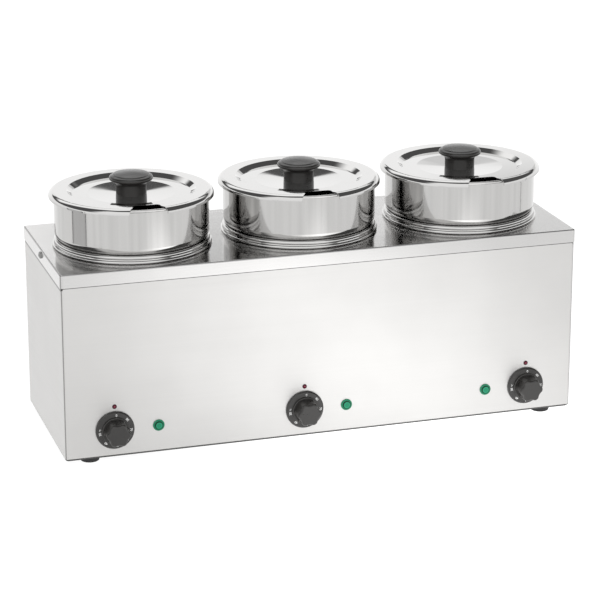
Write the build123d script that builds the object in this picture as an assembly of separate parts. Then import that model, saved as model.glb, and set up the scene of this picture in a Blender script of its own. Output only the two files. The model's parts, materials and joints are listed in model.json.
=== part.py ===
from build123d import *
import os
from math import acos, atan2, cos, degrees, hypot, pi, radians, sin

# Three-pot counter-top hot pot: a heated rectangular casing with three round wells, a lidded pot in each well
# and a thermostat knob and a pilot lamp for each well on the front. Millimetres, +Z up, front towards -Y,
# origin on the counter under the middle of the casing.

os.makedirs("parts", exist_ok=True)

# Casing
CASE_WIDTH = 690.0
CASE_DEPTH = 234.0
CASE_HEIGHT = 246.0
FOOT_HEIGHT = 8.0
SHEET = 1.0
FLANGE = 12.0
BEND = 4.0
TOP_EDGE = 2.0
BOTTOM_EDGE = 2.0
COVER_SKIRT = 17.5
CASE_BOTTOM = FOOT_HEIGHT
TOP_Z = CASE_BOTTOM + CASE_HEIGHT
SKIRT_Z = TOP_Z - COVER_SKIRT
BODY_X = CASE_WIDTH / 2 - SHEET
BODY_Y = CASE_DEPTH / 2 - SHEET

# Pots, wells and lids, one of each at every station
POT_PITCH = 225.0
STATIONS = {"left": -POT_PITCH, "middle": 0.0, "right": POT_PITCH}
WELL_RADIUS = 95.0
WELL_DEPTH = 115.0
COLLAR_RISE = 10.5
COLLAR_RADIUS = 103.0
UPPER_BEAD = 2.9
LOWER_BEAD = 2.2
POT_RADIUS = 100.0
POT_BEND = 12.0
POT_THROAT = 2.0
POT_LOWER_DEPTH = 107.0
LID_RADIUS = 106.5
LID_RISE = 67.0
LID_SHEET = 0.8
LID_DISH = 1.6
DISH_RADIUS = 57.0
RECESS_DEPTH = 5.0
RECESS_RADIUS = 76.5
FLANGE_RADIUS = 83.0
LID_EDGE_RADIUS = 7.0
LID_HEM = 0.6
NOTCH_INNER = 36.0
NOTCH_OUTER = 54.0
NOTCH_CORNER = 5.0
LID_TURN = -1.2
GAP = 0.3
LID_Z = TOP_Z + LID_RISE
FLANGE_Z = LID_Z + RECESS_DEPTH
COLLAR_Z = TOP_Z + COLLAR_RISE
RIM_BEAD = 1.9
RIM_Z = FLANGE_Z - LID_SHEET - 2 * GAP

# Lid knob
CAP_RADIUS = 28.2
STEM_RADIUS = 19.7
LID_KNOB_HEIGHT = 28.2
KNOB_SEAT_Z = LID_Z - LID_DISH
LID_SCREW_RADIUS = 2.5

# Controls on the front panel: the outer knobs stand outside their pots, the middle one left of its pot
KNOB_X = {"left": -279.5, "middle": -28.0, "right": 279.5}
LAMP_X = {"left": -222.5, "middle": 29.0, "right": 222.5}
CONTROL_Z = CASE_BOTTOM + 35.5
KNOB_RADIUS = 25.0
KNOB_LENGTH = 25.0
KNOB_CLEARANCE = 0.8
SHAFT_RADIUS = 3.0
SHAFT_FLAT = 1.6
SHAFT_CLEARANCE = 0.05
SHAFT_IN_BODY = 14.0
SHAFT_IN_KNOB = 12.0
KNOB_BASE_RADIUS = 18.2
GRIP_LOBES = 6
GRIP_TIP = 17.0
GRIP_ROOT = 14.4
GRIP_LOBE = 5.4
GRIP_TAPER = 0.93
GRIP_EDGE = 2.8
THERMOSTAT_SCREW_X = 14.0
INDEX_RISE = 31.2
LAMP_RADIUS = 7.5
LAMP_HOLE_RADIUS = 5.0
DOT_RADIUS = 3.0

# Feet, gland and fasteners
FOOT_X = 309.0
FOOT_Y = 98.0
FOOT_RADIUS = 13.0
GLAND_X = 285.0
GLAND_Z = CASE_BOTTOM + 36.0
GLAND_LENGTH = 25.0
GLAND_NECK = 10.0
GLAND_BORE = 4.0
GLAND_THREAD = 9.8
M4_SHANK = 2.0
M4_CLEAR = 2.2
BASE_GAUGE = 1.0
BASE_SCREWS = [(x, y) for x in (-200.0, 0.0, 200.0) for y in (-107.0, 107.0)]
REAR_SCREWS = [(x, z) for x in (-337.0, 337.0) for z in (34.0, 122.0, 210.0)]
COVER_SCREW_Z = SKIRT_Z + 10.5
FEET = {"front_left": (-FOOT_X, -FOOT_Y), "front_right": (FOOT_X, -FOOT_Y),
        "rear_left": (-FOOT_X, FOOT_Y), "rear_right": (FOOT_X, FOOT_Y)}
VENT_LENGTH = 60.0
VENT_WIDTH = 4.0

# Heating under each well
M6_RADIUS = 3.0
STUD_LENGTH = 22.0
HEATER_RING = 62.0
HEATER_TUBE = 4.0
HEATER_BOTTOM = TOP_Z - WELL_DEPTH - SHEET - 2 * HEATER_TUBE + 0.5
CLAMP_GAUGE = 2.5
BULB_RADIUS = 3.25
BULB_LENGTH = 80.0
BULB_Y = -28.0
CAPILLARY_RADIUS = 0.9


# ---------------------------------------------------------------- helpers

def save(shape, name):
    export_step(shape, f"parts/{name}.step")


def block(low, high):
    """Box between two opposite corners."""
    sizes = [top - bottom for bottom, top in zip(low, high)]
    return Pos(*low) * Box(*sizes, align=(Align.MIN, Align.MIN, Align.MIN))


def rod(start, direction, radius, length):
    """Round bar from a point along a direction."""
    return Plane(origin=start, z_dir=direction) * Cylinder(
        radius, length, align=(Align.CENTER, Align.CENTER, Align.MIN))


def turned(*outline):
    """Solid of revolution about Z from a closed outline of (radius, z) corners.

    A corner written as a pair of points is an arc: a point on the arc, then its end.
    """
    edges = []
    here = outline[0]
    for step in outline[1:] + (outline[0],):
        if isinstance(step[0], tuple):
            middle, end = step
            edges.append(ThreePointArc((here[0], 0, here[1]), (middle[0], 0, middle[1]), (end[0], 0, end[1])))
        else:
            end = step
            edges.append(Line((here[0], 0, here[1]), (end[0], 0, end[1])))
        here = end
    return revolve(make_face(edges), Axis.Z)


def bend(centre, radius, start, stop):
    """Arc step for turned(): angles in degrees, from the +radius direction towards +Z."""
    angles = [radians(a) for a in ((start + stop) / 2, stop)]
    return tuple((centre[0] + radius * cos(a), centre[1] + radius * sin(a)) for a in angles)


def edge_point(centre, radius, angle):
    """Point of a circle in turned() coordinates, at an angle as in bend()."""
    return (centre[0] + radius * cos(radians(angle)), centre[1] + radius * sin(radians(angle)))


def crown(radius, low, high):
    """Arc step for turned(): a shallow dome from (radius, low) up to its top on the axis."""
    rise = high - low
    sphere = (radius ** 2 + rise ** 2) / (2 * rise)
    half = radius / 2
    return ((half, high - sphere + (sphere ** 2 - half ** 2) ** 0.5), (0, high))


def placed(x, shape):
    return Pos(x, 0, 0) * shape


def facing_front(x, z, shape):
    """Puts a shape modelled upright on the casing's front, its +Z pointing out of the panel."""
    return Pos(x, -BODY_Y, z) * Rot(90, 0, 0) * shape


def pan_screw(shank, length, head_radius, head_height):
    """Pan-head screw: head above z = 0 with a cross recess, shank below."""
    dome = head_height * 0.45
    screw = turned((0, -length), (shank - 0.3, -length), (shank, -length + 0.5), (shank, 0), (head_radius, 0),
                   (head_radius, head_height - dome),
                   ((head_radius * 0.72, head_height - dome * 0.3), (head_radius * 0.3, head_height)),
                   (0, head_height))
    slot = 0.22 * head_radius
    for turn in (0, 90):
        screw -= Pos(0, 0, head_height - dome) * Rot(0, 0, turn) * Box(
            head_radius * 1.1, slot, 2 * dome + 1, align=(Align.CENTER, Align.CENTER, Align.MIN))
    return screw


# ---------------------------------------------------------------- casing

def casing_space(low, high, inset=0.0):
    """Upright block inside the top cover's skirt, or further in, its corners rounded to the sheets' bend."""
    half_x = BODY_X - inset
    half_y = BODY_Y - inset
    space = block((-half_x, -half_y, low), (half_x, half_y, high))
    return fillet(space.edges().filter_by(Axis.Z), BEND - SHEET - inset)


def top_cover():
    """Folded tray with a downward skirt all round and three openings for the wells."""
    tray = block((-CASE_WIDTH / 2, -CASE_DEPTH / 2, SKIRT_Z), (CASE_WIDTH / 2, CASE_DEPTH / 2, TOP_Z))
    tray = fillet(tray.edges().filter_by(Axis.Z), BEND)
    tray = fillet(tray.edges().group_by(Axis.Z)[-1], TOP_EDGE)
    cover = tray - casing_space(SKIRT_Z, TOP_Z - SHEET)
    for x in STATIONS.values():
        cover -= Pos(x, 0, TOP_Z) * Cylinder(WELL_RADIUS + 2.5, 3 * SHEET)
    for side in (-1, 1):
        cover -= rod((side * (BODY_X - 2), 0, COVER_SCREW_Z), (side, 0, 0), M4_CLEAR, 6)
    return cover


def casing_wrap():
    """Front and both sides bent from one sheet, with inward flanges along the bottom and the rear."""
    top = TOP_Z - SHEET
    rear = BODY_Y - SHEET
    outer = casing_space(CASE_BOTTOM, top)
    outer = fillet(outer.edges().group_by(Axis.Z)[0], BOTTOM_EDGE)
    outer -= block((-BODY_X, rear, 0), (BODY_X, BODY_Y, TOP_Z))
    inner = casing_space(CASE_BOTTOM + SHEET, top, SHEET)
    inner = fillet(inner.edges().group_by(Axis.Z)[0], BOTTOM_EDGE - SHEET)
    inner -= block((-BODY_X, rear - SHEET, 0), (BODY_X, rear, top))
    bottom = block((-BODY_X + FLANGE, -BODY_Y + FLANGE, CASE_BOTTOM),
                   (BODY_X - FLANGE, rear, CASE_BOTTOM + SHEET))
    back = block((-BODY_X + FLANGE, rear - SHEET, CASE_BOTTOM), (BODY_X - FLANGE, rear, top))
    wrap = outer - inner - bottom - back
    for side in (-1, 1):
        relief = Pos(side * BODY_X, -BODY_Y, SKIRT_Z) * Box(5, 5, 5)
        wrap -= relief
        wrap -= rod((side * (BODY_X - 3), 0, COVER_SCREW_Z), (side, 0, 0), M4_SHANK, 6)
    for x, z in REAR_SCREWS:
        wrap -= rod((x, rear - 3, z), (0, 1, 0), M4_SHANK, 6)
    for x, y in BASE_SCREWS:
        if y < 0:
            wrap -= rod((x, y, CASE_BOTTOM - 1), (0, 0, 1), M4_SHANK, 6)
    for station in STATIONS:
        wrap -= control_holes(station)
    return wrap


def control_holes(station):
    """Holes in the front panel for one thermostat shaft, its two screws, the index dot and the lamp."""
    start = -BODY_Y - 1
    x = KNOB_X[station]
    holes = rod((x, start, CONTROL_Z), (0, 1, 0), SHAFT_RADIUS + 1, 4)
    for side in (-1, 1):
        holes += rod((x + side * THERMOSTAT_SCREW_X, start, CONTROL_Z), (0, 1, 0), M4_CLEAR, 4)
    holes += rod((x, start, CONTROL_Z + INDEX_RISE), (0, 1, 0), DOT_RADIUS / 2, 4)
    holes += rod((LAMP_X[station], start, CONTROL_Z), (0, 1, 0), LAMP_HOLE_RADIUS, 4)
    return holes


def rear_panel():
    """Flat rear sheet with a bottom flange, rows of vent slots and the hole for the cable gland."""
    rear = BODY_Y - SHEET
    panel = block((-BODY_X, rear, CASE_BOTTOM), (BODY_X, BODY_Y, TOP_Z - SHEET))
    edge = BODY_X - FLANGE
    panel += block((-edge, rear - FLANGE, CASE_BOTTOM), (edge, rear, CASE_BOTTOM + SHEET))
    panel &= casing_space(CASE_BOTTOM, TOP_Z - SHEET)
    slot = extrude(SlotOverall(VENT_LENGTH, VENT_WIDTH), SHEET, both=True)
    for x in (-160.0, 0.0, 160.0):
        for row in range(6):
            panel -= Pos(x, rear, 150 + 10 * row) * Rot(90, 0, 0) * slot
    for x, z in REAR_SCREWS:
        panel -= rod((x, rear - 1, z), (0, 1, 0), M4_CLEAR, 4)
    for x, y in BASE_SCREWS:
        if y > 0:
            panel -= rod((x, y, CASE_BOTTOM - 1), (0, 0, 1), M4_SHANK, 4)
    panel -= rod((GLAND_X, rear - 1, GLAND_Z), (0, 1, 0), GLAND_THREAD, 4)
    return panel


def base_plate():
    """Closing sheet under the flanges, with vent slots between the feet."""
    edge_x = BODY_X - BOTTOM_EDGE
    edge_y = BODY_Y - BOTTOM_EDGE
    plate = block((-edge_x, -edge_y, CASE_BOTTOM - BASE_GAUGE), (edge_x, edge_y, CASE_BOTTOM))
    plate = fillet(plate.edges().filter_by(Axis.Z), 3)
    slot = extrude(SlotOverall(VENT_LENGTH, VENT_WIDTH), 2 * BASE_GAUGE, both=True)
    for x in STATIONS.values():
        for row in range(-3, 4):
            plate -= Pos(x, 10 * row, CASE_BOTTOM) * slot
    for x, y in BASE_SCREWS:
        plate -= rod((x, y, 0), (0, 0, 1), M4_CLEAR, CASE_BOTTOM + 2)
    for x, y in FEET.values():
        plate -= rod((x, y, 0), (0, 0, 1), M4_SHANK, CASE_BOTTOM + 2)
    return plate


def foot():
    """Rubber foot, narrower at the floor, with a recess for its screw."""
    top = CASE_BOTTOM - BASE_GAUGE
    return turned((M4_SHANK, top), (FOOT_RADIUS, top), (FOOT_RADIUS, top - 1.5), (FOOT_RADIUS - 0.9, 1),
                  ((FOOT_RADIUS - 1.2, 0.3), (FOOT_RADIUS - 1.9, 0)), (5.5, 0), (5.5, 3.5), (M4_SHANK, 3.5))


def foot_screws():
    screw = Rot(180, 0, 0) * pan_screw(M4_SHANK, 9, 4, 2.2)
    return Compound(children=[Pos(x, y, 3.5) * screw for x, y in FEET.values()])


def base_plate_screws():
    screw = Rot(180, 0, 0) * pan_screw(M4_SHANK, 7, 3.8, 1.2)
    return Compound(children=[Pos(x, y, CASE_BOTTOM - BASE_GAUGE) * screw for x, y in BASE_SCREWS])


def rear_panel_screws():
    screw = Rot(-90, 0, 0) * pan_screw(M4_SHANK, 7, 3.8, 2.4)
    return Compound(children=[Pos(x, BODY_Y, z) * screw for x, z in REAR_SCREWS])


def cover_screws():
    """One screw through the cover's skirt at each end of the casing."""
    screws = []
    for side in (-1, 1):
        screws.append(Pos(side * CASE_WIDTH / 2, 0, COVER_SCREW_Z) * Rot(0, side * 90, 0)
                      * pan_screw(M4_SHANK, 8, 4.5, 3))
    return Compound(children=screws)


# ---------------------------------------------------------------- wells and heating

def well():
    """Deep-drawn water well with a raised double-beaded collar and a welded stud underneath."""
    wall = WELL_RADIUS + SHEET
    low = TOP_Z - WELL_DEPTH
    corner = 12
    upper = (WELL_RADIUS + UPPER_BEAD, COLLAR_Z - UPPER_BEAD)
    lower = (COLLAR_RADIUS - LOWER_BEAD, TOP_Z + LOWER_BEAD)
    hollow = 1.2
    shell = turned((0, low - SHEET), (wall - corner, low - SHEET),
                   bend((wall - corner, low + corner - SHEET), corner, -90, 0),
                   (wall, upper[1]), bend((wall + hollow, upper[1]), hollow, 180, 0),
                   (wall + 2 * hollow, TOP_Z), (lower[0], TOP_Z), bend(lower, LOWER_BEAD, -90, 120),
                   edge_point(upper, UPPER_BEAD, -60), bend(upper, UPPER_BEAD, -60, 180),
                   (WELL_RADIUS, low + corner - SHEET),
                   bend((wall - corner, low + corner - SHEET), corner - SHEET, 0, -90), (0, low))
    return shell + rod((0, 0, low - SHEET), (0, 0, -1), M6_RADIUS, STUD_LENGTH)


def heater():
    """Ring-shaped tubular element pressed to the underside of the well, with two cold legs at the rear."""
    top = TOP_Z - WELL_DEPTH - SHEET
    ring = Pos(0, 0, top - HEATER_TUBE + 0.5) * Torus(HEATER_RING, HEATER_TUBE)
    ring -= block((-90, -90, top), (90, 90, top + 5))
    for side in (-1, 1):
        leg_x = side * 14
        leg_y = (HEATER_RING ** 2 - leg_x ** 2) ** 0.5
        ring += rod((leg_x, leg_y, top - HEATER_TUBE), (0, 0, -1), HEATER_TUBE - 0.6, 22)
        ring += rod((leg_x, leg_y, top - HEATER_TUBE - 22), (0, 0, -1), 1.6, 9)
    return ring


def heater_clamp():
    """Bar that holds the element up against the well; the well's stud passes through it."""
    top = HEATER_BOTTOM
    length = 2 * (HEATER_RING + HEATER_TUBE) + 6
    bar = block((-length / 2, -9, top - CLAMP_GAUGE), (length / 2, 9, top))
    bar = fillet(bar.edges().filter_by(Axis.Z), 5)
    return bar - rod((0, 0, top - 5), (0, 0, 1), M6_RADIUS, 10)


def heater_clamp_nuts():
    nut = extrude(RegularPolygon(5.8, 6), -5) - Cylinder(M6_RADIUS, 20)
    return Compound(children=[Pos(x, 0, HEATER_BOTTOM - CLAMP_GAUGE) * nut for x in STATIONS.values()])


def thermostat():
    """Capillary thermostat behind the panel: mounting plate, body with the shaft's bore, two spade tabs."""
    plate = Box(40, 30, 1.5, align=(Align.CENTER, Align.CENTER, Align.MIN))
    plate = fillet(plate.edges().filter_by(Axis.Z), 4)
    body = Pos(0, 0, 1.5) * Box(34, 32, 26, align=(Align.CENTER, Align.CENTER, Align.MIN))
    body = fillet(body.edges().filter_by(Axis.Z), 2)
    unit = plate + body
    for x in (-9, 9):
        unit += Pos(x, 0, 27.5) * Box(6.3, 0.8, 9, align=(Align.CENTER, Align.CENTER, Align.MIN))
    unit -= Cylinder(SHAFT_RADIUS + SHAFT_CLEARANCE, 2 * SHAFT_IN_BODY)
    for side in (-1, 1):
        unit -= Pos(side * THERMOSTAT_SCREW_X, 0, 0) * Cylinder(M4_SHANK, 12)
    return Rot(-90, 0, 0) * unit


def thermostat_screws():
    """Low-head screws through the panel, hidden under the knobs' skirts."""
    screw = pan_screw(M4_SHANK, 6, 3.2, 1.5)
    screws = []
    for x in KNOB_X.values():
        for side in (-1, 1):
            screws.append(facing_front(x + side * THERMOSTAT_SCREW_X, CONTROL_Z, screw))
    return Compound(children=screws)


def thermostat_bulb(station):
    """Sensing bulb under the well with its capillary down to the top of the thermostat."""
    x = STATIONS[station]
    knob_x = KNOB_X[station]
    side = 1 if knob_x > x else -1
    under = TOP_Z - WELL_DEPTH - SHEET
    axis_z = under - BULB_RADIUS + 0.3
    bulb = rod((x - side * BULB_LENGTH / 2, BULB_Y, axis_z), (side, 0, 0), BULB_RADIUS, BULB_LENGTH)
    bulb -= block((x - 60, BULB_Y - 10, under), (x + 60, BULB_Y + 10, under + 5))
    start = x + side * (BULB_LENGTH / 2 - 2)
    turn = x + side * (BULB_LENGTH / 2 + 6)
    low = under - 40
    entry_y = -BODY_Y + SHEET + 15
    route = FilletPolyline((start, BULB_Y, axis_z), (turn, BULB_Y, axis_z), (turn, BULB_Y, low),
                           (knob_x, entry_y, low), (knob_x, entry_y, CONTROL_Z + 16), radius=5)
    capillary = sweep(Plane(origin=route @ 0, z_dir=route % 0) * Circle(CAPILLARY_RADIUS), path=route)
    return bulb + capillary


# ---------------------------------------------------------------- front controls

def polar(radius, angle):
    return (radius * cos(angle), radius * sin(angle))


def fluted_outline(scale):
    """Outline of the knob's grip: lobes of one radius joined by tangent hollows, one of them along +X."""
    half = pi / GRIP_LOBES
    lobe_at = GRIP_TIP - GRIP_LOBE
    reach = 2 * lobe_at * cos(half)
    hollow = (GRIP_LOBE ** 2 - lobe_at ** 2 - GRIP_ROOT ** 2 + reach * GRIP_ROOT) / (
        2 * GRIP_ROOT - reach - 2 * GRIP_LOBE)
    hollow_at = polar(GRIP_ROOT + hollow, half)
    lean = atan2(hollow_at[1], hollow_at[0] - lobe_at)
    joint_x = lobe_at + GRIP_LOBE * cos(lean)
    joint_y = GRIP_LOBE * sin(lean)
    joint = scale * hypot(joint_x, joint_y)
    spread = atan2(joint_y, joint_x)
    edges = []
    for lobe in range(GRIP_LOBES):
        turn = 2 * half * lobe
        start, end = polar(joint, turn - spread), polar(joint, turn + spread)
        edges.append(ThreePointArc(start, polar(scale * GRIP_TIP, turn), end))
        after = polar(joint, turn + 2 * half - spread)
        edges.append(ThreePointArc(end, polar(scale * GRIP_ROOT, turn + half), after))
    return make_face(edges)


def control_knob():
    """Thermostat knob: bevelled scale skirt, base ring and tapered six-lobed grip, hollow behind."""
    back = KNOB_CLEARANCE
    skirt = turned((0, back), (KNOB_RADIUS, back), (KNOB_RADIUS, back + 1.2), (KNOB_RADIUS - 1.4, back + 2.6),
                   (KNOB_BASE_RADIUS, back + 3.4), (KNOB_BASE_RADIUS, back + 5.2),
                   bend((KNOB_BASE_RADIUS - 1.2, back + 5.2), 1.2, 0, 90), (0, back + 6.4))
    foot_z = back + 3
    grip = loft([Pos(0, 0, foot_z) * fluted_outline(1.0),
                 Pos(0, 0, KNOB_LENGTH) * fluted_outline(GRIP_TAPER)], ruled=True)
    grip = fillet(grip.edges().group_by(Axis.Z)[-1], GRIP_EDGE)
    knob = skirt + grip
    knob -= Pos(0, 0, back) * Cylinder(20.5, 3.6)
    knob += Pos(0, 0, back) * Cylinder(7, 5, align=(Align.CENTER, Align.CENTER, Align.MIN))
    return knob - d_bar(SHAFT_IN_KNOB, back)


def d_bar(length, start):
    """Upright bar of the shaft's D-shaped section."""
    bar = Pos(0, 0, start) * Cylinder(SHAFT_RADIUS, length, align=(Align.CENTER, Align.CENTER, Align.MIN))
    flat_y = SHAFT_RADIUS - SHAFT_FLAT
    return bar - block((-SHAFT_RADIUS, flat_y, start), (SHAFT_RADIUS, SHAFT_RADIUS, start + length))


def thermostat_shaft():
    """Round in the thermostat and the panel, D-shaped in the knob."""
    inner = -SHEET - SHAFT_IN_BODY + 1
    round_part = rod((0, 0, inner), (0, 0, 1), SHAFT_RADIUS, KNOB_CLEARANCE - inner)
    return round_part + d_bar(SHAFT_IN_KNOB, KNOB_CLEARANCE)


def pilot_lens():
    """Green lens: flat flange, raised round window, stem through the panel."""
    window = LAMP_RADIUS - 2.7
    return turned((0, -6), (LAMP_HOLE_RADIUS - 0.2, -6), (LAMP_HOLE_RADIUS - 0.2, 0), (LAMP_RADIUS, 0),
                  (LAMP_RADIUS, 0.8), bend((LAMP_RADIUS - 0.7, 0.8), 0.7, 0, 90), (window, 1.5), (window, 2),
                  bend((window - 0.8, 2), 0.8, 0, 90), (0, 3.1))


def pilot_lamp():
    """Lamp body on the back of the lens, with its two tabs."""
    body = Pos(0, 0, -28) * Cylinder(6, 22, align=(Align.CENTER, Align.CENTER, Align.MIN))
    collar = turned((LAMP_HOLE_RADIUS - 0.2, -6), (8, -6), (8, -SHEET), (LAMP_HOLE_RADIUS - 0.2, -SHEET))
    tabs = [Pos(x, 0, -35) * Box(0.8, 4, 8, align=(Align.CENTER, Align.CENTER, Align.MIN)) for x in (-3, 3)]
    return body + collar + tabs


def index_dot():
    """Red index mark above the knob: a shallow dome on a short peg."""
    return turned((0, -3), (DOT_RADIUS / 2, -3), (DOT_RADIUS / 2, 0), (DOT_RADIUS, 0), (DOT_RADIUS, 0.4),
                  crown(DOT_RADIUS, 0.4, 1.5))


# ---------------------------------------------------------------- pots and lids

def pot():
    """Stainless pot: narrow body in the well, drum resting on the collar by its round bend, rolled rim."""
    bend_x = POT_RADIUS - POT_BEND
    across = WELL_RADIUS + UPPER_BEAD - bend_x
    reach = UPPER_BEAD + POT_BEND + GAP
    bend_z = COLLAR_Z - UPPER_BEAD + (reach ** 2 - across ** 2) ** 0.5
    shoulder = bend_z - POT_BEND
    throat = POT_THROAT
    wall = bend_x - throat
    inner = wall - SHEET
    low = shoulder - POT_LOWER_DEPTH
    corner = 8
    bead = RIM_BEAD
    bead_x = POT_RADIUS - SHEET + bead
    bead_start = -180 + degrees(acos((bead - SHEET) / bead))
    bead_low = RIM_Z - bead + bead * sin(radians(bead_start))
    return turned((0, low), (wall - corner, low), bend((wall - corner, low + corner), corner, -90, 0),
                  (wall, shoulder - throat), bend((wall + throat, shoulder - throat), throat, 180, 90),
                  bend((bend_x, bend_z), POT_BEND, -90, 0),
                  (POT_RADIUS, bead_low), bend((bead_x, RIM_Z - bead), bead, bead_start, 180),
                  (POT_RADIUS - SHEET, bend_z), bend((bend_x, bend_z), POT_BEND - SHEET, 0, -90),
                  bend((wall + throat, shoulder - throat), throat + SHEET, 90, 180),
                  (inner, low + corner), bend((wall - corner, low + corner), corner - SHEET, 0, -90),
                  (0, low + SHEET))


def lid():
    """Pressed lid: dished centre under the knob, recess, flat flange, rolled-down edge, ladle notch."""
    t = LID_SHEET
    edge = LID_EDGE_RADIUS
    edge_centre = (LID_RADIUS - edge, FLANGE_Z - edge)
    hem = edge_centre[1] - LID_HEM
    seat = KNOB_SEAT_Z
    disc = turned((LID_SCREW_RADIUS, seat), (STEM_RADIUS, seat), (DISH_RADIUS, LID_Z), (RECESS_RADIUS, LID_Z),
                  (FLANGE_RADIUS, FLANGE_Z), (edge_centre[0], FLANGE_Z), bend(edge_centre, edge, 90, 0),
                  (LID_RADIUS, hem), (LID_RADIUS - t, hem), (LID_RADIUS - t, edge_centre[1]),
                  bend(edge_centre, edge - t, 0, 90), (FLANGE_RADIUS + t / 2, FLANGE_Z - t),
                  (RECESS_RADIUS + t / 2, LID_Z - t), (DISH_RADIUS, LID_Z - t), (STEM_RADIUS, seat - t),
                  (LID_SCREW_RADIUS, seat - t))
    return Rot(0, 0, LID_TURN) * (disc - notch())


def notch():
    """Ladle opening: a slot that widens towards the edge, with rounded inner corners."""
    start = -(FLANGE_RADIUS + 1.6)
    turn = start - 8
    stop = -LID_RADIUS - 1
    shape = make_face(Polyline((-NOTCH_INNER / 2, start), (-NOTCH_INNER / 2, turn), (-NOTCH_OUTER / 2, stop),
                               (NOTCH_OUTER / 2, stop), (NOTCH_INNER / 2, turn), (NOTCH_INNER / 2, start),
                               close=True))
    inner_corners = shape.vertices().group_by(Axis.Y)[-1]
    shape = fillet(inner_corners, NOTCH_CORNER)
    return Pos(0, 0, LID_Z - 30) * extrude(shape, 60)


def lid_knob():
    """Moulded spool: straight stem flaring into a wide cap, whose domed top stands inside a rounded ledge."""
    seat = KNOB_SEAT_Z
    top = seat + LID_KNOB_HEIGHT
    stem = STEM_RADIUS
    flare = 7.0
    ledge = 3.2
    ledge_z = top - 7.2
    flare_z = ledge_z - ledge - flare
    face = CAP_RADIUS - 4.8
    spool = turned((0, seat), (stem, seat), (stem, flare_z), bend((stem + flare, flare_z), flare, 180, 100),
                   bend((CAP_RADIUS - ledge, ledge_z), ledge, -80, 62),
                   (face + 0.8, top - 3.6), (face, top - 3.3), (face - 0.4, top - 2.3),
                   crown(face - 0.4, top - 2.3, top))
    return spool - rod((0, 0, seat), (0, 0, 1), LID_SCREW_RADIUS, 12)


def lid_knob_screw():
    return Pos(0, 0, KNOB_SEAT_Z - LID_SHEET) * Rot(180, 0, 0) * pan_screw(LID_SCREW_RADIUS, 11, 4.6, 2.6)


# ---------------------------------------------------------------- electrical parts

def cable_gland():
    """Cable entry behind the casing: hexagon against the panel, tapered dome nut, open bore."""
    hexagon = extrude(RegularPolygon(13, 6), 5)
    tip = GLAND_LENGTH - 3
    dome = turned((0, 5), (11, 5), (11, 14), (8.5, tip), bend((5.5, tip), 3, 0, 90), (0, GLAND_LENGTH))
    neck = Cylinder(GLAND_THREAD, GLAND_NECK, align=(Align.CENTER, Align.CENTER, Align.MAX))
    gland = hexagon + dome + neck - Cylinder(GLAND_BORE, 80)
    return Pos(GLAND_X, BODY_Y, GLAND_Z) * Rot(-90, 0, 0) * gland


def cable_gland_nut():
    nut = extrude(RegularPolygon(12, 6), -4) - Cylinder(GLAND_THREAD, 20)
    return Pos(GLAND_X, BODY_Y - SHEET, GLAND_Z) * Rot(-90, 0, 0) * nut


def terminal_block():
    """Three-way mains terminal block on the base plate, with a screw well over each way."""
    x = GLAND_X - 75
    shape = block((x - 27, 70, CASE_BOTTOM), (x + 27, 88, CASE_BOTTOM + 15))
    shape = fillet(shape.edges().filter_by(Axis.Z), 2)
    for way in (-1, 0, 1):
        for y in (74.5, 83.5):
            shape -= rod((x + 17 * way, y, CASE_BOTTOM + 8), (0, 0, 1), 2.4, 10)
        shape -= rod((x + 17 * way, 60, CASE_BOTTOM + 6), (0, 1, 0), 2, 12)
        shape -= rod((x + 17 * way, 98, CASE_BOTTOM + 6), (0, -1, 0), 2, 12)
    return shape


# ---------------------------------------------------------------- export

for name, shape in {
    "top_cover": top_cover(),
    "casing_wrap": casing_wrap(),
    "rear_panel": rear_panel(),
    "base_plate": base_plate(),
    "cover_screws": cover_screws(),
    "rear_panel_screws": rear_panel_screws(),
    "base_plate_screws": base_plate_screws(),
    "foot_screws": foot_screws(),
    "heater_clamp_nuts": heater_clamp_nuts(),
    "thermostat_screws": thermostat_screws(),
    "cable_gland": cable_gland(),
    "cable_gland_nut": cable_gland_nut(),
    "terminal_block": terminal_block(),
}.items():
    save(shape, name)

for corner, (x, y) in FEET.items():
    save(Pos(x, y, 0) * foot(), f"foot_{corner}")

for station, x in STATIONS.items():
    for name, make in {"well": well, "heater": heater, "heater_clamp": heater_clamp, "pot": pot, "lid": lid,
                       "lid_knob": lid_knob, "lid_knob_screw": lid_knob_screw}.items():
        save(placed(x, make()), f"{name}_{station}")
    save(Pos(KNOB_X[station], -BODY_Y + SHEET, CONTROL_Z) * thermostat(), f"thermostat_{station}")
    save(thermostat_bulb(station), f"thermostat_bulb_{station}")
    save(facing_front(KNOB_X[station], CONTROL_Z, control_knob()), f"control_knob_{station}")
    save(facing_front(KNOB_X[station], CONTROL_Z, thermostat_shaft()), f"thermostat_shaft_{station}")
    save(facing_front(LAMP_X[station], CONTROL_Z, pilot_lens()), f"pilot_lens_{station}")
    save(facing_front(LAMP_X[station], CONTROL_Z, pilot_lamp()), f"pilot_lamp_{station}")
    save(facing_front(KNOB_X[station], CONTROL_Z + INDEX_RISE, index_dot()), f"index_dot_{station}")
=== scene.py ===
import json
import math
import bmesh
import bpy
from mathutils import Matrix, Vector


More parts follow.
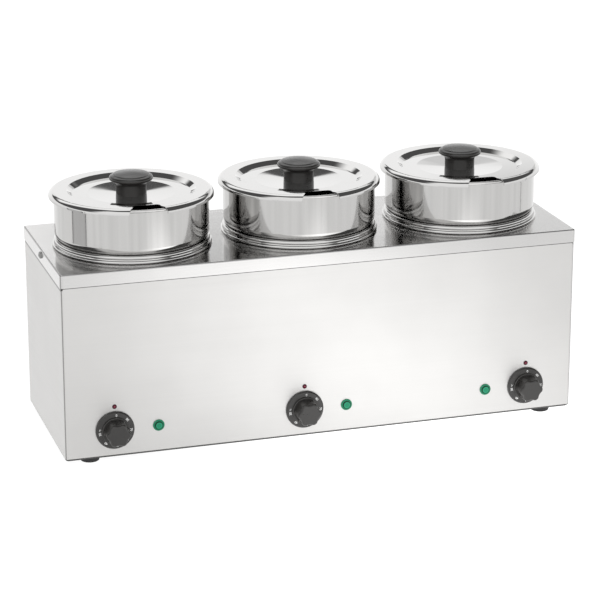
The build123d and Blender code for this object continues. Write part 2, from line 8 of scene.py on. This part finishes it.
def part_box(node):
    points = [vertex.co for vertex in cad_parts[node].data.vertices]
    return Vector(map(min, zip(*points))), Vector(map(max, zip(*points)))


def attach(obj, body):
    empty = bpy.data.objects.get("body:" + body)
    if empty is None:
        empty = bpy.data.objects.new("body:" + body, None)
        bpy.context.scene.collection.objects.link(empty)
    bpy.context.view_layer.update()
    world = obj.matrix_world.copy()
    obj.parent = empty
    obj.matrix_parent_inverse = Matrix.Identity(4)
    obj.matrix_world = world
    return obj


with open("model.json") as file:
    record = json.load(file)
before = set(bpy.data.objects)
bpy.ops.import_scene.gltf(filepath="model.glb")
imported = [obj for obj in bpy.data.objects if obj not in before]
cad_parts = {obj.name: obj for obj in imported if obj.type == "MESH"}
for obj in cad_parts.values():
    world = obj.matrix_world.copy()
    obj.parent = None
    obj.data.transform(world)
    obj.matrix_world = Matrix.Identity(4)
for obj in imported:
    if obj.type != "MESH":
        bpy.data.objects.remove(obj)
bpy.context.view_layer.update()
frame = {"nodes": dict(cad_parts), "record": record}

# ---------------------------------------------------------------- places, in metres, from the frame

STATIONS = ("left", "middle", "right")
COVER_LOW, COVER_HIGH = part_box("top_cover")
WRAP_LOW, WRAP_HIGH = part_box("casing_wrap")
SKIRT_Z = COVER_LOW.z
PANEL_Y = WRAP_LOW.y


def middle(node_name):
    low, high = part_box(node_name)
    return (low + high) / 2


def half_width(node_name):
    low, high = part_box(node_name)
    return (high.x - low.x) / 2


STATION_X = {s: middle(f"well_{s}").x for s in STATIONS}
KNOB_X = {s: middle(f"control_knob_{s}").x for s in STATIONS}
CONTROL_Z = middle("control_knob_middle").z

# ---------------------------------------------------------------- painted shade lines on the sheet metal

# Painted shade: a painted shadow under the cover's skirt, and painted shade along the bottom edge, down
# the corner bends and along the cover's folds.
# Half widths in metres, and shades from 0 (none) to 1 (the darkest painted level, as a fraction of the
# sheet's own colour)
SKIRT_SHADOW_REACH = 0.0011
END_SKIRT_SHADOW_REACH = 0.0042
END_SKIRT_SHADOW_SHADE = 0.7
BOTTOM_SHADE_REACH = 0.0019
BEND_SHADE_REACH = 0.0016
BEND_SHADE = 0.6
FOLD_SHADE_REACH = 0.0016
FOLD_SHADE = 0.5
PAINTED_SHADE_LEVEL = 0.16

# ---------------------------------------------------------------- lens colours, with a painted highlight on the index dot

# Position from the rim (0) to the axis (1), then the colour
LAMP_RINGS = (
    (0.0, (0.008, 0.2, 0.1)),
    (0.2, (0.006, 0.17, 0.085)),
    (0.3, (0.001, 0.06, 0.026)),
    (0.42, (0.001, 0.06, 0.026)),
    (0.5, (0.015, 0.3, 0.16)),
    (0.72, (0.006, 0.19, 0.095)),
    (1.0, (0.01, 0.24, 0.12)),
)
# The index dot: dark red, with a painted highlight as its brighter centre.
DOT_RINGS_AND_HIGHLIGHT = (
    (0.0, (0.045, 0.002, 0.008)),
    (0.6, (0.07, 0.003, 0.012)),
    (0.85, (0.3, 0.05, 0.09)),
)

# ---------------------------------------------------------------- dial numbers

# Turns in degrees clockwise from the top, sizes in metres
ZERO_TURN = 4
FIRST_TURN = 49
TURN_STEP = 42.5
TEMPERATURES = ("80", "70", "60", "50", "40", "30")
UNIT_TURN = 277
MARK_SIZE = 0.0043
UNIT_SIZE = 0.0026
MARK_RADIUS = 0.0203
MARK_OUT = 0.0040
MARK_THICKNESS = 0.00004
MARK_WEIGHT = 0.00008
SKIRT_SLOPE = math.radians(8.4)

# ---------------------------------------------------------------- studio

FLOOR_HALF_SIZE = 6.0
FLOOR_ALBEDO = 0.25
FLOOR_GLOW = 0.95
POOL_GLOW = 2.0
POOL_CENTRE = (0.14, -0.5)
POOL_REACH = (0.46, 0.85)

# Patches of the studio: azimuth (centre, half width, softness), elevation (the same), level. Degrees;
# azimuth is from the front (-Y) towards +X. A later patch covers an earlier one.
STUDIO_LEVEL = 0.12
STUDIO_PATCHES = (
    ((175, 38, 8), (54, 26, 4), 1.6),
    ((-17, 52, 10), (40, 25, 5), 1.4),
    ((0, 200, 1), (-30, 47.4, 0.5), 1.35),
    ((140, 20.5, 0.6), (19, 2.3, 0.4), 0.95),
    ((176, 7.7, 0.5), (19, 2.3, 0.4), 1.3),
    ((154.5, 4, 1.5), (15.9, 1.1, 0.6), 0.85),
)

# Standing cards that give the drums their upright streaks: name, pot, azimuths of the ends, level
CARD_DISTANCE = 0.78
CARD_HEIGHT = 0.35
STUDIO_CARDS = (
    ("left_card", "left", (-81, -104), 0.75),
    ("left_strip_near", "left", (-79.5, -81), 0.3),
    ("left_strip_far", "left", (-104, -106), 0.4),
    ("right_strip", "right", (82, 83.2), 0.3),
)

CAMERA_PLACE = (-0.9075, -2.9249, 1.146)
CAMERA_YAW = math.radians(-17.27)
CAMERA_PITCH = math.radians(16.54)
CAMERA_LENS = 145.2
CAMERA_SENSOR = 36.0
CAMERA_SHIFT = -0.1
CAMERA_FAR = 50


# ---------------------------------------------------------------- shader helpers

def new_material(name):
    """A material with its node tree and its Principled shader."""
    material = bpy.data.materials.new(name)
    material.use_nodes = True
    tree = material.node_tree
    shader = tree.nodes["Principled BSDF"]
    return material, tree, shader


def new_metal(name):
    material, tree, shader = new_material(name)
    shader.inputs["Metallic"].default_value = 1.0
    return material, tree, shader


def node(tree, kind, **values):
    """A shader node; each value sets the input of that name, or else the property."""
    made = tree.nodes.new(kind)
    for key, value in values.items():
        if key in made.inputs:
            made.inputs[key].default_value = value
        else:
            setattr(made, key, value)
    return made


def place(tree, scale):
    """Object coordinates stretched by a scale for each axis."""
    coordinates = node(tree, "ShaderNodeTexCoord")
    mapping = node(tree, "ShaderNodeMapping", Scale=scale)
    tree.links.new(coordinates.outputs["Object"], mapping.inputs["Vector"])
    return mapping.outputs["Vector"]


def fade(tree, location, scale):
    """1 at a place and 0 at the scale's distance from it along each axis and beyond."""
    coordinates = node(tree, "ShaderNodeTexCoord")
    mapping = node(tree, "ShaderNodeMapping", vector_type="TEXTURE", Location=location, Scale=scale)
    gradient = node(tree, "ShaderNodeTexGradient", gradient_type="SPHERICAL")
    tree.links.new(coordinates.outputs["Object"], mapping.inputs["Vector"])
    tree.links.new(mapping.outputs["Vector"], gradient.inputs["Vector"])
    return gradient.outputs["Fac"]


def noise(tree, scale, detail=3.0, stretch=(1, 1, 1)):
    made = node(tree, "ShaderNodeTexNoise", Scale=scale, Detail=detail)
    tree.links.new(place(tree, stretch), made.inputs["Vector"])
    return made.outputs["Fac"]


def ramp(tree, factor, low, high, start=0.3, stop=0.7, curve="LINEAR"):
    """Takes a factor from start..stop to low..high."""
    made = node(tree, "ShaderNodeMapRange", interpolation_type=curve)
    made.inputs["From Min"].default_value = start
    made.inputs["From Max"].default_value = stop
    made.inputs["To Min"].default_value = low
    made.inputs["To Max"].default_value = high
    tree.links.new(factor, made.inputs["Value"])
    return made.outputs["Result"]


def colours(tree, factor, stops):
    """Colour ramp from (position, (r, g, b)) stops."""
    made = tree.nodes.new("ShaderNodeValToRGB")
    elements = made.color_ramp.elements
    while len(elements) < len(stops):
        elements.new(0.5)
    for element, (position, colour) in zip(elements, stops):
        element.position = position
        element.color = (*colour, 1)
    tree.links.new(factor, made.inputs["Fac"])
    return made.outputs["Color"]


def mottle(tree, shader, factor, colour, dim, start=0.3, stop=0.7):
    """Base colour that varies between a colour and a dimmer one."""
    low = tuple(dim * part for part in colour)
    stops = ((start, low), (stop, colour))
    tree.links.new(colours(tree, factor, stops), shader.inputs["Base Color"])


def math_node(tree, operation, *inputs):
    """A Math node; an input is a number or another node's output."""
    made = tree.nodes.new("ShaderNodeMath")
    made.operation = operation
    for socket, value in zip(made.inputs, inputs):
        if isinstance(value, (int, float)):
            socket.default_value = value
        else:
            tree.links.new(value, socket)
    return made.outputs["Value"]


def bump(tree, shader, height, strength, distance):
    made = node(tree, "ShaderNodeBump", Strength=strength, Distance=distance)
    tree.links.new(height, made.inputs["Height"])
    tree.links.new(made.outputs["Normal"], shader.inputs["Normal"])


# ---------------------------------------------------------------- metals

def across_grain(tree, shader):
    """Spreads reflections across the sheet's grain, which runs along X, or along Y on the end faces."""
    geometry = tree.nodes.new("ShaderNodeNewGeometry")
    cross = node(tree, "ShaderNodeVectorMath", operation="CROSS_PRODUCT")
    cross.inputs[1].default_value = (1, 0.05, 0)
    tree.links.new(geometry.outputs["Normal"], cross.inputs[0])
    tree.links.new(cross.outputs["Vector"], shader.inputs["Tangent"])


def brushed_steel(name, colour, along, roughness=(0.28, 0.4), anisotropy=0.5):
    """Fine-ground stainless sheet: long hairlines along one direction and a faint cloudiness."""
    material, tree, shader = new_metal(name)
    shader.inputs["Anisotropic"].default_value = anisotropy
    across_grain(tree, shader)
    lines = noise(tree, 1.0, 4, along)
    tree.links.new(ramp(tree, lines, *roughness), shader.inputs["Roughness"])
    mottle(tree, shader, noise(tree, 9.0), colour, 0.96, 0.35, 0.65)
    bump(tree, shader, lines, 0.06, 0.0002)
    return material


def polished_steel(name, colour, roughness):
    """Mirror-polished stainless steel with faint polishing haze."""
    material, tree, shader = new_metal(name)
    shader.inputs["Base Color"].default_value = (*colour, 1)
    haze = noise(tree, 30.0, 5)
    tree.links.new(ramp(tree, haze, roughness, roughness * 2.2), shader.inputs["Roughness"])
    return material


def drum_steel(name, colour):
    """Polished steel with faint upright streaks and a slight waviness from drawing."""
    material, tree, shader = new_metal(name)
    streaks = noise(tree, 1.0, 3, (160, 160, 2.5))
    waves = noise(tree, 16.0, 2, (1, 1, 0.6))
    mottle(tree, shader, streaks, colour, 0.93, 0.35, 0.65)
    tree.links.new(ramp(tree, streaks, 0.05, 0.13), shader.inputs["Roughness"])
    bump(tree, shader, waves, 0.12, 0.0012)
    return material


# ---------------------------------------------------------------- painted shade under the skirt, along the bottom and in bends and folds

def near(tree, value, centre, reach):
    """1 within a distance of a value, else 0."""
    return math_node(tree, "COMPARE", value, centre, reach)


def both(tree, first, second):
    return math_node(tree, "MULTIPLY", first, second)


def largest(tree, masks):
    """The largest of several masks."""
    result = masks[0]
    for mask in masks[1:]:
        result = math_node(tree, "MAXIMUM", result, mask)
    return result


def edge_between(tree, first, second, reach):
    """1 along the edge where two (value, centre) pairs meet, else 0."""
    return both(tree, near(tree, *first, reach), near(tree, *second, reach))


def casing_painted_shade(tree, across, y, z):
    """Painted shadow under the cover's skirt (deeper on the ends), and painted shade along the bottom
    and down the front bends.
    """
    end, front = (across, WRAP_HIGH.x), (y, WRAP_LOW.y)
    end_skirt_shadow = both(tree, near(tree, *end, BEND_SHADE_REACH), near(tree, z, SKIRT_Z, END_SKIRT_SHADOW_REACH))
    return largest(tree, [
        near(tree, z, SKIRT_Z, SKIRT_SHADOW_REACH),
        near(tree, z, WRAP_LOW.z, BOTTOM_SHADE_REACH),
        both(tree, end_skirt_shadow, END_SKIRT_SHADOW_SHADE),
        both(tree, edge_between(tree, end, front, BEND_SHADE_REACH), BEND_SHADE),
    ])


def cover_painted_shade(tree, across, y, z):
    """Painted shade in faint lines where the cover's sheet is folded down and where the skirt turns the
    corner.
    """
    end, front, top = (across, COVER_HIGH.x), (y, COVER_LOW.y), (z, COVER_HIGH.z)
    fold_shade = largest(tree, [edge_between(tree, top, side, FOLD_SHADE_REACH) for side in (end, front)])
    return largest(tree, [
        both(tree, fold_shade, FOLD_SHADE),
        both(tree, edge_between(tree, end, front, BEND_SHADE_REACH), BEND_SHADE),
    ])


def paint_shade_lines(material, find_painted_shade):
    """Paints shade into a material's own colour along the lines that the given function marks with up to
    1.
    """
    tree = material.node_tree
    colour_input = tree.nodes["Principled BSDF"].inputs["Base Color"]
    plain = colour_input.links[0].from_socket
    coordinates = node(tree, "ShaderNodeTexCoord")
    parts = node(tree, "ShaderNodeSeparateXYZ")
    tree.links.new(coordinates.outputs["Object"], parts.inputs["Vector"])
    across = math_node(tree, "ABSOLUTE", parts.outputs["X"])
    # The painted shade mask: 1 where the shade is painted darkest.
    lines = find_painted_shade(tree, across, parts.outputs["Y"], parts.outputs["Z"])
    shaded = node(tree, "ShaderNodeVectorMath", operation="SCALE")
    tree.links.new(plain, shaded.inputs[0])
    tree.links.new(ramp(tree, lines, 1.0, PAINTED_SHADE_LEVEL, 0.0, 1.0), shaded.inputs["Scale"])
    tree.links.new(shaded.outputs["Vector"], colour_input)


# ---------------------------------------------------------------- plastics, rubber and print

def black_plastic(name, colour, roughness):
    """Satin phenolic moulding with a fine grain."""
    material, tree, shader = new_material(name)
    wear = noise(tree, 60.0, 4)
    mottle(tree, shader, wear, colour, 0.85)
    tree.links.new(ramp(tree, wear, roughness, roughness + 0.08), shader.inputs["Roughness"])
    bump(tree, shader, noise(tree, 1800.0, 2), 0.12, 0.0001)
    return material


def plain_plastic(name, colour, roughness, scale=400.0):
    """Plain moulding, rubber or print with a faint grain."""
    material, tree, shader = new_material(name)
    grain = noise(tree, scale, 2)
    mottle(tree, shader, grain, colour, 0.9)
    shader.inputs["Roughness"].default_value = roughness
    bump(tree, shader, grain, 0.05, 0.0001)
    return material


def lens_plastic(name, x, z, radius, rings):
    """Moulded lens on the front panel: rings of colour around its axis, from the rim inwards; on the
    index dot the bright centre is a painted highlight.
    """
    material, tree, shader = new_material(name)
    any_depth = 1000
    inwards = fade(tree, (x, 0, z), (radius, any_depth, radius))
    tree.links.new(colours(tree, inwards, rings), shader.inputs["Base Color"])
    shader.inputs["Roughness"].default_value = 0.2
    shader.inputs["Specular IOR Level"].default_value = 0.25
    bump(tree, shader, noise(tree, 250.0, 2), 0.1, 0.0002)
    return material


# ---------------------------------------------------------------- the part's materials

# The casing's and the cover's colours get painted shade lines at the end of the script.
CASING = brushed_steel("casing_satin_steel", (0.58, 0.574, 0.565), (3, 3, 900), (0.36, 0.44))
COVER = brushed_steel("cover_bright_steel", (0.58, 0.574, 0.568), (4, 700, 700), (0.12, 0.18))
DRUM = drum_steel("drum_steel", (0.52, 0.515, 0.507))

SLOT_MATERIALS = {
    "casing_steel": CASING,
    "polished_steel": polished_steel("polished_steel", (0.51, 0.506, 0.5), 0.03),
    "fastener_steel": brushed_steel("fastener_steel", (0.3, 0.3, 0.295), (300, 300, 300)),
    "heater_steel": brushed_steel("heater_steel", (0.33, 0.29, 0.26), (200, 200, 200)),
    "thermostat_case": brushed_steel("thermostat_case", (0.55, 0.56, 0.55), (250, 250, 250), (0.4, 0.5)),
    "copper": brushed_steel("capillary_copper", (0.72, 0.43, 0.3), (300, 300, 300)),
    "black_plastic": black_plastic("black_phenolic", (0.024, 0.0225, 0.021), 0.26),
    "black_nylon": plain_plastic("black_nylon", (0.03, 0.03, 0.03), 0.5),
    "white_nylon": plain_plastic("white_nylon", (0.8, 0.79, 0.75), 0.45),
    "rubber": plain_plastic("foot_rubber", (0.018, 0.018, 0.018), 0.75, 900.0),
}
PRINT = plain_plastic("dial_print", (0.75, 0.75, 0.74), 0.5)


def dress(node_name, material):
    slots = frame["nodes"][node_name].data.materials
    slots.clear()
    slots.append(material)


def dress_lens(node_name, rings):
    centre = middle(node_name)
    dress(node_name, lens_plastic(node_name, centre.x, centre.z, half_width(node_name), rings))


def dress_cad_nodes():
    """Every CAD node gets the material of its slot; the cover, the pots and the lenses get their own."""
    for part in frame["record"]["subparts"]:
        if part["material_slot"] in SLOT_MATERIALS:
            dress(part["node"], SLOT_MATERIALS[part["material_slot"]])
    dress("top_cover", COVER)
    for station in STATIONS:
        dress(f"pot_{station}", DRUM)
        dress_lens(f"pilot_lens_{station}", LAMP_RINGS)
        dress_lens(f"index_dot_{station}", DOT_RINGS_AND_HIGHLIGHT)


# ---------------------------------------------------------------- printed numbers on the dials

def dial_marks():
    """Turn, characters and size of every mark on a dial."""
    steps = [FIRST_TURN + TURN_STEP * count for count in range(len(TEMPERATURES))]
    numbers = [(turn, label, MARK_SIZE) for turn, label in zip(steps, TEMPERATURES)]
    return [(ZERO_TURN, "0", MARK_SIZE), *numbers, (UNIT_TURN, "°C", UNIT_SIZE)]


def text_mesh(label, size):
    """Flat printed characters, centred, as a mesh."""
    curve = bpy.data.curves.new("mark", "FONT")
    curve.body = label
    curve.size = size
    curve.align_x = "CENTER"
    curve.align_y = "CENTER"
    curve.extrude = MARK_THICKNESS
    curve.offset = MARK_WEIGHT
    text = bpy.data.objects.new("mark", curve)
    mesh = bpy.data.meshes.new_from_object(text)
    bpy.data.objects.remove(text)
    return mesh


def mark_place(centre, turn):
    """Puts a mark on the dial's sloped skirt, upright towards the rim."""
    angle = math.radians(turn)
    outward = Vector((math.sin(angle), 0, math.cos(angle)))
    across = Vector((math.cos(angle), 0, -math.sin(angle)))
    up = outward * math.cos(SKIRT_SLOPE) + Vector((0, math.sin(SKIRT_SLOPE), 0))
    axes = Matrix((across, up, across.cross(up))).transposed().to_4x4()
    return Matrix.Translation(centre + outward * MARK_RADIUS) @ axes


def add_dial_marks(station):
    """The marks round one knob's skirt, in one mesh that turns with the knob."""
    centre = Vector((KNOB_X[station], PANEL_Y - MARK_OUT, CONTROL_Z))
    marks = bmesh.new()
    for turn, label, size in dial_marks():
        mesh = text_mesh(label, size)
        mesh.transform(mark_place(centre, turn))
        marks.from_mesh(mesh)
        bpy.data.meshes.remove(mesh)
    mesh = bpy.data.meshes.new(f"dial_marks_{station}")
    marks.to_mesh(mesh)
    marks.free()
    mesh.materials.append(PRINT)
    piece = bpy.data.objects.new(f"dial_marks_{station}", mesh)
    bpy.context.scene.collection.objects.link(piece)
    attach(piece, f"control_knob_{station}")


# ---------------------------------------------------------------- stage, sky and camera

def quad(name, corners, material):
    """A flat stage piece between four corners."""
    mesh = bpy.data.meshes.new(name)
    mesh.from_pydata(corners, [], [(0, 1, 2, 3)])
    mesh.materials.append(material)
    piece = bpy.data.objects.new(name, mesh)
    bpy.context.scene.collection.objects.link(piece)
    return piece


def glowing(name, albedo, roughness):
    """A dull material with a white glow, whose strength is still to be set."""
    material, tree, shader = new_material(name)
    shader.inputs["Base Color"].default_value = (albedo, albedo, albedo, 1)
    shader.inputs["Roughness"].default_value = roughness
    shader.inputs["Specular IOR Level"].default_value = 0.0
    shader.inputs["Emission Color"].default_value = (1, 1, 1, 1)
    return material, tree, shader.inputs["Emission Strength"]


def add_floor():
    """A light table, brightest in a pool in front of the unit, so that shadows stay faint."""
    material, tree, strength = glowing("pale_floor", FLOOR_ALBEDO, 0.9)
    pool = fade(tree, (*POOL_CENTRE, 0), (*POOL_REACH, 1))
    tree.links.new(ramp(tree, pool, FLOOR_GLOW, POOL_GLOW, 0.0, 1.0, "SMOOTHSTEP"), strength)
    size = FLOOR_HALF_SIZE
    quad("floor", [(-size, -size, 0), (size, -size, 0), (size, size, 0), (-size, size, 0)], material)


def around(centre_x, azimuth, distance):
    """Floor point seen from a pot: azimuth in degrees from straight ahead (-Y) towards +X."""
    angle = math.radians(azimuth)
    return (centre_x + distance * math.sin(angle), -distance * math.cos(angle))


def add_card(name, start, end, level):
    """A standing studio card between two floor points, seen only in reflections."""
    material, tree, strength = glowing(name, 0.0, 1.0)
    strength.default_value = level
    corners = [(*start, 0), (*end, 0), (*end, CARD_HEIGHT), (*start, CARD_HEIGHT)]
    card = quad(name, corners, material)
    card.visible_camera = False
    card.visible_diffuse = False
    card.visible_shadow = False


def add_cards():
    for name, pot, azimuths, level in STUDIO_CARDS:
        start, end = [around(STATION_X[pot], azimuth, CARD_DISTANCE) for azimuth in azimuths]
        add_card(name, start, end, level)


def soft_span(tree, value, centre, reach, softness):
    """1 inside a span of degrees and 0 outside, with soft edges."""
    turn = math_node(tree, "WRAP", math_node(tree, "SUBTRACT", value, centre), 180, -180)
    offset = math_node(tree, "ABSOLUTE", turn)
    return ramp(tree, offset, 1, 0, reach - softness, reach + softness, "SMOOTHSTEP")


def sky_angles(tree):
    """Azimuth from the front (-Y) towards +X, and elevation, both in degrees."""
    coordinates = tree.nodes.new("ShaderNodeTexCoord")
    parts = tree.nodes.new("ShaderNodeSeparateXYZ")
    tree.links.new(coordinates.outputs["Generated"], parts.inputs["Vector"])
    backwards = math_node(tree, "MULTIPLY", parts.outputs["Y"], -1)
    azimuth = math_node(tree, "ARCTAN2", parts.outputs["X"], backwards)
    elevation = math_node(tree, "ARCSINE", parts.outputs["Z"])
    degree = 180 / math.pi
    return [math_node(tree, "MULTIPLY", angle, degree) for angle in (azimuth, elevation)]


def add_world():
    """Dark studio with bright boxes and a bright low wall, each a soft-edged patch of the sky."""
    world = bpy.data.worlds.new("studio")
    bpy.context.scene.world = world
    world.use_nodes = True
    tree = world.node_tree
    azimuth, elevation = sky_angles(tree)
    brightness = STUDIO_LEVEL
    for sides, heights, level in STUDIO_PATCHES:
        mask = both(tree, soft_span(tree, azimuth, *sides), soft_span(tree, elevation, *heights))
        change = both(tree, mask, math_node(tree, "SUBTRACT", level, brightness))
        brightness = math_node(tree, "ADD", brightness, change)
    background = tree.nodes["Background"]
    background.inputs["Color"].default_value = (1, 1, 1, 1)
    tree.links.new(brightness, background.inputs["Strength"])


def add_camera():
    data = bpy.data.cameras.new("camera")
    data.lens = CAMERA_LENS
    data.sensor_width = CAMERA_SENSOR
    data.shift_y = CAMERA_SHIFT
    data.clip_end = CAMERA_FAR
    camera = bpy.data.objects.new("camera", data)
    bpy.context.scene.collection.objects.link(camera)
    camera.location = CAMERA_PLACE
    camera.rotation_euler = (math.pi / 2 - CAMERA_PITCH, 0, CAMERA_YAW)
    bpy.context.scene.camera = camera


# ---------------------------------------------------------------- the scene

# Painted shade lines on the casing and the cover.
paint_shade_lines(CASING, casing_painted_shade)
paint_shade_lines(COVER, cover_painted_shade)
dress_cad_nodes()
for station in STATIONS:
    add_dial_marks(station)
add_floor()
add_world()
add_cards()
add_camera()
bpy.context.scene.view_settings.view_transform = "Standard"
